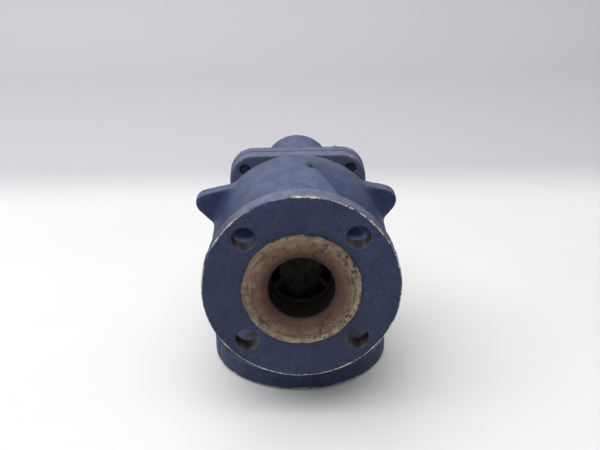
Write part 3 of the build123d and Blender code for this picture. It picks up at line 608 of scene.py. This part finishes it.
def neighbour_mean(mesh, values):
    """Mean of the values over each vertex's neighbours."""
    ends = np.empty(len(mesh.edges) * 2, dtype=np.int64)
    mesh.edges.foreach_get("vertices", ends)
    a, b = ends.reshape(-1, 2).T
    total = np.zeros_like(values)
    np.add.at(total, a, values[b])
    np.add.at(total, b, values[a])
    count = np.bincount(ends, minlength=len(mesh.vertices)).astype(float)
    count = np.maximum(count, 1)
    return total / (count[:, None] if values.ndim == 2 else count)


def mark_edges(obj, bend_full):
    """Write how far each point stands out from its surroundings as the attribute edge, 0 to 1."""
    mesh = obj.data
    points, normals = points_of(mesh), normals_of(mesh)
    around = neighbour_mean(mesh, neighbour_mean(mesh, points))
    bend = ((points - around) * normals).sum(axis=1)
    bend = np.clip(neighbour_mean(mesh, bend) / bend_full, 0, 1)
    attribute = mesh.attributes.new("edge", "FLOAT", "POINT")
    attribute.data.foreach_set("value", bend.astype(np.float32))


def trim(obj, point, normal):
    """Cut away what lies on the normal's side of a plane, and close the cut."""
    bm = bmesh.new()
    bm.from_mesh(obj.data)
    bmesh.ops.remove_doubles(bm, verts=bm.verts, dist=1e-6)
    everything = bm.verts[:] + bm.edges[:] + bm.faces[:]
    cut = bmesh.ops.bisect_plane(bm, geom=everything, plane_co=point, plane_no=normal, clear_outer=True)
    edges = [e for e in cut["geom_cut"] if isinstance(e, bmesh.types.BMEdge)]
    bmesh.ops.holes_fill(bm, edges=edges, sides=0)
    bm.to_mesh(obj.data)
    bm.free()


def cast(piece, material, node):
    """Put a piece in the casing in place of a CAD casting."""
    piece.data.materials.append(material)
    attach(piece, "casing")
    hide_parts(node)


# ------------------------------------------------------------------------------ pipe flanges
def round_corner(radius, z, edge, start):
    """Five points round one outer corner, from the given angle on through a quarter turn."""
    turns = [math.radians(start + 22.5 * k) for k in range(5)]
    return [(radius - edge + edge * math.cos(a), z + edge * math.sin(a)) for a in turns]


def flange_ring(name, place):
    """Painted part of a pipe flange, face down on its own XY plane, with its bolt holes."""
    front = round_corner(FLANGE_R, RAISED_HEIGHT + FLANGE_EDGE_R, FLANGE_EDGE_R, -90)
    back = round_corner(FLANGE_R, FLANGE_THICKNESS - FLANGE_EDGE_R, FLANGE_EDGE_R, 0)
    profile = [(LINER_R, FLANGE_THICKNESS), (LINER_R, RAISED_HEIGHT)] + front + back
    flange = lathe(profile, 256, name)
    cutters = []
    for angle in BOLT_ANGLES:
        bm = bmesh.new()
        radii = {"radius1": BOLT_HOLE_R, "radius2": BOLT_HOLE_R}
        bmesh.ops.create_cone(bm, cap_ends=True, segments=64, depth=4 * FLANGE_THICKNESS, **radii)
        cutter = object_from(bm, "cutter")
        cutter.location = (BOLT_CIRCLE_R * math.cos(angle), BOLT_CIRCLE_R * math.sin(angle), 0)
        cutters.append(cutter)
    for cutter in cutters:
        cut = flange.modifiers.new("cut", "BOOLEAN")
        cut.operation = "DIFFERENCE"
        cut.object = cutter
        cut.solver = "EXACT"
    bevel = flange.modifiers.new("soft_edges", "BEVEL")
    bevel.width = 0.8 * MM
    bevel.segments = 3
    bevel.limit_method = "ANGLE"
    bevel.angle_limit = math.radians(50)
    apply_modifiers(flange)
    for cutter in cutters:
        bpy.data.objects.remove(cutter)
    nick_rim(flange)
    flange.data.transform(place)
    shade_by_angle(flange, 35)
    return flange


def nick_rim(flange):
    """Dent the rim a little here and there, as handling does."""
    points = points_of(flange.data)
    radius = np.hypot(points[:, 0], points[:, 1])
    for index in np.nonzero(radius > FLANGE_R - 0.6 * MM)[0]:
        depth = max(0.0, fractal(Vector(points[index] * 95), 0.6, 2.0, 4) - 0.25)
        points[index, :2] *= 1 - 0.9 * MM * min(depth, 0.7) / radius[index]
    move_points(flange.data, points)


def flange_liner(name, place):
    """Machined raised face with its turned rings, the bell mouth and the bore behind it."""
    mouth = [(BORE_R, MOUTH_DEPTH + 1 * MM), (BORE_R + 0.3 * MM, MOUTH_DEPTH - 0.6 * MM)]
    mouth += [(MOUTH_R - 0.9 * MM, 1.1 * MM), (MOUTH_R - 0.1 * MM, 0.3 * MM)]
    rings = []
    radius = MOUTH_R + 0.9 * MM
    while radius < RAISED_R - 1.5 * MM:
        groove = RING_DEPTH if len(rings) % 2 else 0.0
        rings.append((radius, groove))
        radius += RING_PITCH
    rim = [(RAISED_R - 0.5 * MM, 0.0), (RAISED_R, 0.5 * MM), (RAISED_R, RAISED_HEIGHT)]
    profile = [(BORE_R, FLANGE_THICKNESS)] + mouth + rings + rim
    profile += [(LINER_R, RAISED_HEIGHT), (LINER_R, FLANGE_THICKNESS)]
    liner = lathe(profile, 192, name)
    liner.data.transform(place)
    shade_by_angle(liner, 35)
    return liner


def make_flange(name, centre, along, place, wear, drum_shade):
    """Both pieces of a pipe flange. With painted shade under the drum, less dust and sheen and no specks of
    bare iron.
    """
    ring = flange_ring(name + "_flange", place)
    chips, holes = rim_chips(centre, along, wear, 1.0 - drum_shade), bolt_holes_and_drum_shade(centre, along, drum_shade)
    paint = painted(name + "_flange_paint", chips, holes=holes, dust_and_sheen_amount=0.85 - 0.45 * drum_shade)
    cast(ring, paint, "body")
    liner = flange_liner(name + "_face", place)
    cast(liner, machined_face(name + "_face_iron", centre, along), "body")


# ------------------------------------------------------------------------------ castings
def carve_drum(obj):
    """Long raised band on top of the drum, the dent at its end, and the swell of the mould, with an attribute
    of painted shade beside the band's edge and in the dent.
    """
    mesh = obj.data
    points, normals = points_of(mesh), normals_of(mesh)
    x = points[:, 0] / MM
    station = (points[:, 1] - INLET_FACE_Y) / MM
    height = (points[:, 2] - AXIS_Z) / MM
    on_drum = (height > 20) & (np.hypot(x, height) > 58) & (station > 19) & (station < 124)
    band_edge = BAND_EDGE_X - BAND_SLANT * (station - BAND_EDGE_STATION)
    past = np.clip((x - band_edge + 1) / 6, 0, 1)
    past = past * past * (3 - 2 * past)
    fade = np.clip((band_edge + 34 - x) / 28, 0, 1) * np.clip((BAND_END_STATION - station) / 12, 0, 1)
    step_depth = 1.5 + 2.4 * np.clip((80 - station) / 50, 0, 1)
    push = -step_depth * past * fade + 0.6 * np.clip((x + 26) / 14, 0, 1) * (1 - past)
    dent = np.hypot((x - DENT_X) / DENT_HALF_X, (station - DENT_STATION) / DENT_HALF_STATION)
    push -= DENT_DEPTH * np.exp(-dent * dent)
    # Painted shade beside the band's edge, beyond it and in the dent, stored as an attribute.
    beside = np.exp(-(((x - band_edge - 3.0) / 3.5) ** 2)) * fade
    beyond = past * np.exp(-np.maximum(x - band_edge - 6.0, 0) / 38.0)
    beyond = beyond * np.clip((BAND_END_STATION + 8 - station) / 16, 0, 1)
    painted_shade = np.maximum(0.85 * beside, 0.7 * beyond) + np.exp(-dent * dent)
    painted_shade = np.where(on_drum, np.clip(painted_shade, 0, 1), 0.0)
    attribute = mesh.attributes.new("painted_shade", "FLOAT", "POINT")
    attribute.data.foreach_set("value", painted_shade.astype(np.float32))
    push = np.where(on_drum, push * np.clip((height - 20) / 18, 0, 1), 0.0)
    swell = np.array([fractal(Vector(p * 42), 0.9, 2.0, 3) for p in points])
    push += SWELL_DEPTH * np.clip(swell, -1, 1)
    move_points(mesh, points + normals * push[:, None] * MM)


def soften_roots(obj):
    """Smooth the corners where the lugs and the nut pockets run into the drum."""
    points = points_of(obj.data) / MM
    height = points[:, 2] - AXIS_Z / MM
    station = points[:, 1] - INLET_FACE_Y / MM
    radius = np.hypot(points[:, 0], height)
    from_middle = abs(points[:, 0])
    near_lug = (abs(station - LUG_STATION) < 20) & (from_middle > 40) & (from_middle < 74) & (height > -5)
    near_pocket = (station < 48) & (radius > 40) & (radius < 75)
    weight = np.where(near_lug & (radius > 66) & (radius < 80), 1.0, 0.0)
    weight = np.where(near_pocket, 0.7, weight)
    group = obj.vertex_groups.new(name="roots")
    for level in (0.7, 1.0):
        group.add([int(i) for i in np.nonzero(weight == level)[0]], level, "REPLACE")
    add_smooth(obj, 0.5, 14, "roots")


def make_body():
    """The casting between the flanges, remeshed from the CAD body."""
    skin = copy_of("body", "body_skin")
    back_y = INLET_FACE_Y + FLANGE_THICKNESS
    top_z = OUTLET_FACE_Z + FLANGE_THICKNESS
    trim(skin, (0, back_y - 1.0 * MM, 0), (0, -1, 0))
    trim(skin, (0, 0, top_z - 1.0 * MM), (0, 0, -1))
    remesh(skin, BODY_VOXEL, 5)
    soften_roots(skin)
    carve_drum(skin)
    mark_edges(skin, 0.35 * MM)
    paint = painted("body_paint", attribute_chips, inside=chamber_side, painted_shade_attribute="painted_shade", blues=BODY_BLUES)
    cast(skin, paint, "body")


def make_cover():
    """The square cover with its boss and rib, remeshed from the CAD cover."""
    skin = copy_of("cover", "cover_skin")
    remesh(skin, COVER_VOXEL, 5)
    mark_edges(skin, 0.3 * MM)
    cast(skin, painted("cover_paint", attribute_chips, blues=BODY_BLUES), "cover")


def square_outline(half, corner_r, steps=12):
    """Points round a square with round corners, about the middle of the cover joint."""
    points = []
    for quarter in range(4):
        turn = math.radians(90 * quarter)
        for k in range(steps + 1):
            angle = turn + math.radians(90 * k / steps)
            sx = 1 if quarter in (0, 3) else -1
            sz = 1 if quarter in (0, 1) else -1
            flat = half - corner_r
            across = sx * flat + corner_r * math.cos(angle)
            upward = sz * flat + corner_r * math.sin(angle)
            points.append((across, upward))
    return points


def make_joint_paint():
    """Paint that bridges the cover joint and hides the gasket's edge."""
    low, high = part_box("cover_gasket")
    half = (high.x - low.x) / 2
    reach = JOINT_PAINT_REACH
    shoulder, crown = -0.5 * MM, -0.12 * MM
    loops = [(low.y - reach, -JOINT_PAINT_DEPTH), (low.y - reach, shoulder), (low.y - reach / 3, crown)]
    loops += [(high.y + reach / 3, crown), (high.y + reach, shoulder), (high.y + reach, -JOINT_PAINT_DEPTH)]
    bm = bmesh.new()
    rings = []
    for y, grow in loops:
        outline = square_outline(half + grow, COVER_CORNER_R + grow)
        rings.append([bm.verts.new((x, y, AXIS_Z + z)) for x, z in outline])
    count = len(rings[0])
    for i, here in enumerate(rings):
        there = rings[(i + 1) % len(rings)]
        for k in range(count):
            j = (k + 1) % count
            bm.faces.new((here[k], here[j], there[j], there[k]))
    band = object_from(bm, "joint_paint")
    shade_by_angle(band, 40)
    band.data.materials.append(painted("joint_paint", dust_and_sheen_amount=0.9))
    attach(band, "casing")


def dress(nodes, material):
    """Give CAD nodes that keep their own meshes a material."""
    for name in nodes:
        node = frame["nodes"][name]
        node.data.materials.clear()
        node.data.materials.append(material)
        shade_by_angle(node, 32)


def dress_fittings():
    fastener_paint = painted("fastener_paint", None, 0.0001, 0.0002)
    dress(["cover_screws", "cover_washers", "passage_plug"], fastener_paint)
    dress(["cover_gasket"], fibre_gasket("painted_gasket", srgb(66, 74, 98), srgb(30, 36, 54)))
    copper = metal("dull_copper", srgb(176, 112, 78), srgb(92, 62, 48), 1.0, 0.35)
    dress(["seat_gasket", "drain_gasket"], copper)
    dress(["drain_plug"], metal("plug_steel", srgb(120, 116, 108), srgb(70, 50, 38), 0.85, 0.42, 0.8))
    # Internals deep in the bore: dark rust, darkened further as painted shade.
    dark_rust_and_shade = metal("rust_and_shade_steel", srgb(40, 33, 28), srgb(17, 13, 11), 0.3, 0.7, 0.9)
    dress(["inlet_deflector", "deflector_snap_ring"], dark_rust_and_shade)
    lathe_marks, roll_marks = (0.1, 0.1, 3.0), (2.5, 0.08, 2.5)
    spin_marks, brush_marks = (0.15, 3.0, 0.15), (0.06, 1.0, 3.0)
    turned = metal("turned_steel", srgb(172, 166, 154), srgb(104, 88, 70), 1.0, 0.28, 0.5, lathe_marks)
    dress(["valve_seat", "valve_head", "float_nut", "bracket_screws", "air_vent_seat"], turned)
    sheet = metal("rolled_sheet", srgb(160, 156, 146), srgb(98, 84, 68), 1.0, 0.36, 0.55, roll_marks)
    dress(["float_lever", "mechanism_bracket"], sheet)
    spun = metal("spun_float", srgb(168, 164, 156), srgb(112, 94, 74), 1.0, 0.3, 0.6, spin_marks, 11.0)
    dress(["float_ball", "air_vent_capsule", "air_vent_plunger"], spun)
    spring = metal("spring_steel", srgb(138, 132, 124), srgb(78, 62, 50), 1.0, 0.4, 0.6)
    dress(["pivot_pin", "pin_clips", "valve_clip", "air_vent_clip", "nameplate_pins"], spring)
    plate = metal("etched_plate", srgb(178, 178, 174), srgb(112, 110, 104), 0.9, 0.38, 0.35, brush_marks, 4.0)
    dress(["nameplate"], plate)


add_camera()
add_floor()
add_light()
bpy.context.scene.view_settings.view_transform = "Standard"

inlet_place = Matrix.Translation((0, INLET_FACE_Y, AXIS_Z)) @ Matrix.Rotation(math.radians(-90), 4, "X")
make_flange("inlet", (0, INLET_FACE_Y, AXIS_Z), (0, 1, 0), inlet_place, 0.52, 0.0)
outlet_place = Matrix.Translation((0, 0, OUTLET_FACE_Z))
make_flange("outlet", (0, 0, OUTLET_FACE_Z), (0, 0, 1), outlet_place, 0.34, 1.0)
make_body()
make_cover()
make_joint_paint()
dress_fittings()
